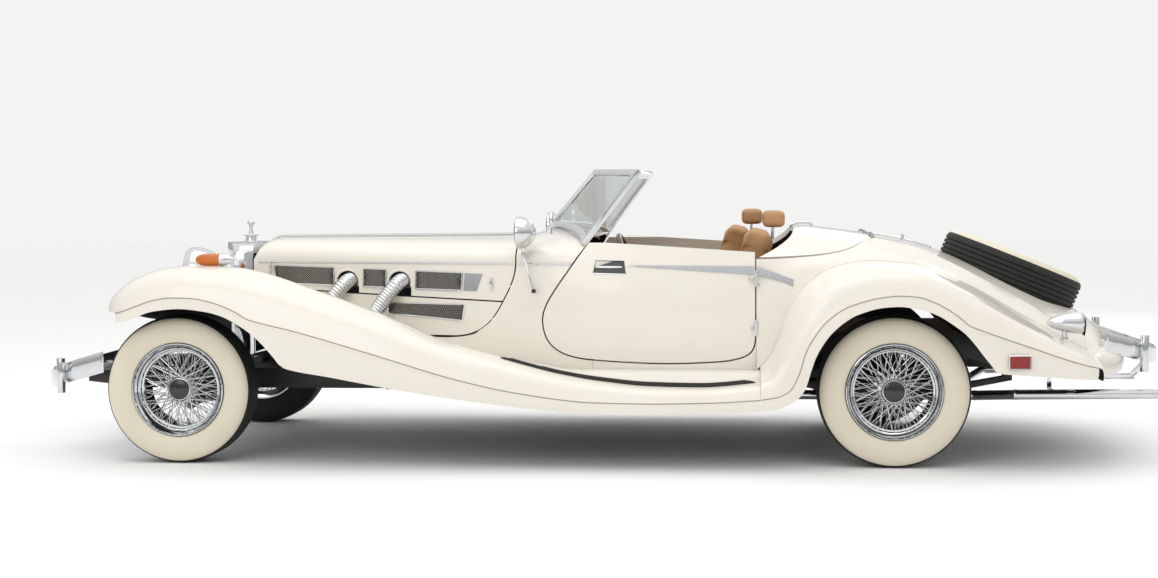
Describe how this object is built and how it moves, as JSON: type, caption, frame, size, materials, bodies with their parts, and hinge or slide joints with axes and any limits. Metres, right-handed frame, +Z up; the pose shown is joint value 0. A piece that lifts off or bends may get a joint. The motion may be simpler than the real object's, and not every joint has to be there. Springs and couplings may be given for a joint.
{
  "type": "two-seat roadster convertible",
  "caption": "Long-bonnet roadster with swept fenders, V windscreen, opening bonnet halves, doors, lids and steered wire wheels.",
  "frame": {"origin": "on the ground under the middle of the overall box", "axes": "+X to the rear of the car, +Y to its right-hand side, +Z up; the car faces -X"},
  "size_m": [5.306, 1.83, 1.3184],
  "materials": {
    "ivory_paint": "gloss enamel over glass-fibre and steel",
    "chassis_black": "satin black chassis paint",
    "cast_grey": "as cast",
    "bright_steel": "bright flexible tube",
    "chrome_trim": "polished",
    "grille_mesh": "woven bright mesh",
    "dash_wood": "varnished",
    "tan_leather": "soft grain",
    "clear_glass": "clear",
    "floor_carpet": "dark carpet",
    "tyre_rubber": "black tread, cream sidewall",
    "wire_wheel_chrome": "polished",
    "wheel_wood": "red-brown varnish"
  },
  "bodies": {
    "car_body": {"chassis_frame": "chassis_black", "engine_and_driveline": "cast_grey", "fuel_tank": "chassis_black", "front_suspension": "chassis_black", "rear_axle": "chassis_black", "exhaust_system": "bright_steel", "side_pipes": "bright_steel", "front_bumper": "chrome_trim", "rear_bumper": "chrome_trim", "radiator_shell": "chrome_trim", "radiator_grille": "grille_mesh", "front_fender_left": "ivory_paint", "front_fender_right": "ivory_paint", "rear_fender_left": "ivory_paint", "rear_fender_right": "ivory_paint", "engine_side_panels": "ivory_paint", "body_shell": "ivory_paint", "tail_panel": "ivory_paint", "floor_pan": "floor_carpet", "dashboard": "dash_wood", "steering_column": "chassis_black", "seat_driver": "tan_leather", "seat_passenger": "tan_leather", "windscreen_frame": "chrome_trim", "windscreen_glass": "clear_glass", "front_lamps": "chrome_trim", "spotlights": "chrome_trim", "rear_lamps": "chrome_trim"},
    "bonnet_left": {"bonnet_left": "ivory_paint"},
    "bonnet_right": {"bonnet_right": "ivory_paint"},
    "door_left": {"door_left": "ivory_paint"},
    "door_right": {"door_right": "ivory_paint"},
    "hood_cover": {"hood_cover": "ivory_paint"},
    "boot_lid": {"boot_lid": "ivory_paint", "spare_wheel": "tyre_rubber"},
    "knuckle_left": {"knuckle_left": "cast_grey"},
    "knuckle_right": {"knuckle_right": "cast_grey"},
    "steering_wheel": {"steering_wheel": "wheel_wood"},
    "wheel_front_left": {"wheel_front_left": "wire_wheel_chrome", "tyre_front_left": "tyre_rubber"},
    "wheel_front_right": {"wheel_front_right": "wire_wheel_chrome", "tyre_front_right": "tyre_rubber"},
    "wheel_rear_left": {"wheel_rear_left": "wire_wheel_chrome", "tyre_rear_left": "tyre_rubber"},
    "wheel_rear_right": {"wheel_rear_right": "wire_wheel_chrome", "tyre_rear_right": "tyre_rubber"}
  },
  "joints": [
    {"name": "bonnet_left_hinge", "type": "hinge", "parent": "car_body", "child": "bonnet_left", "pos_m": [-0.94, 0, 1.013], "axis": [-1, 0, 0], "range_deg": [0, 60]},
    {"name": "bonnet_right_hinge", "type": "hinge", "parent": "car_body", "child": "bonnet_right", "pos_m": [-0.94, 0, 1.013], "axis": [1, 0, 0], "range_deg": [0, 60]},
    {"name": "door_left_hinge", "type": "hinge", "parent": "car_body", "child": "door_left", "pos_m": [0.792, -0.7325, 0.7], "axis": [0, 0, 1], "range_deg": [0, 70]},
    {"name": "door_right_hinge", "type": "hinge", "parent": "car_body", "child": "door_right", "pos_m": [0.792, 0.7325, 0.7], "axis": [0, 0, -1], "range_deg": [0, 70]},
    {"name": "hood_cover_hinge", "type": "hinge", "parent": "car_body", "child": "hood_cover", "pos_m": [1.315, 0, 1.0115], "axis": [0, 1, 0], "range_deg": [0, 60]},
    {"name": "boot_lid_hinge", "type": "hinge", "parent": "car_body", "child": "boot_lid", "pos_m": [1.315, 0, 1.0115], "axis": [0, -1, 0], "range_deg": [0, 50]},
    {"name": "steer_left", "type": "hinge", "parent": "car_body", "child": "knuckle_left", "pos_m": [-1.8, -0.6, 0.334], "axis": [0, 0, 1], "range_deg": [-30, 30]},
    {"name": "steer_right", "type": "hinge", "parent": "car_body", "child": "knuckle_right", "pos_m": [-1.8, 0.6, 0.334], "axis": [0, 0, 1], "range_deg": [-30, 30]},
    {"name": "steering_wheel_turn", "type": "hinge", "parent": "car_body", "child": "steering_wheel", "pos_m": [0.227, -0.35, 0.83], "axis": [0.9063, 0, 0.4226], "range_deg": [-450, 450]},
    {"name": "wheel_front_left_spin", "type": "hinge", "parent": "knuckle_left", "child": "wheel_front_left", "pos_m": [-1.8, -0.695, 0.334], "axis": [0, 1, 0], "continuous": true},
    {"name": "wheel_front_right_spin", "type": "hinge", "parent": "knuckle_right", "child": "wheel_front_right", "pos_m": [-1.8, 0.695, 0.334], "axis": [0, 1, 0], "continuous": true},
    {"name": "wheel_rear_left_spin", "type": "hinge", "parent": "car_body", "child": "wheel_rear_left", "pos_m": [1.39, -0.695, 0.334], "axis": [0, 1, 0], "continuous": true},
    {"name": "wheel_rear_right_spin", "type": "hinge", "parent": "car_body", "child": "wheel_rear_right", "pos_m": [1.39, 0.695, 0.334], "axis": [0, 1, 0], "continuous": true}
  ],
  "couplings": [
    {"joint": "steer_right", "follows": "steer_left", "ratio": 1},
    {"joint": "steering_wheel_turn", "follows": "steer_left", "ratio": 15}
  ]
}
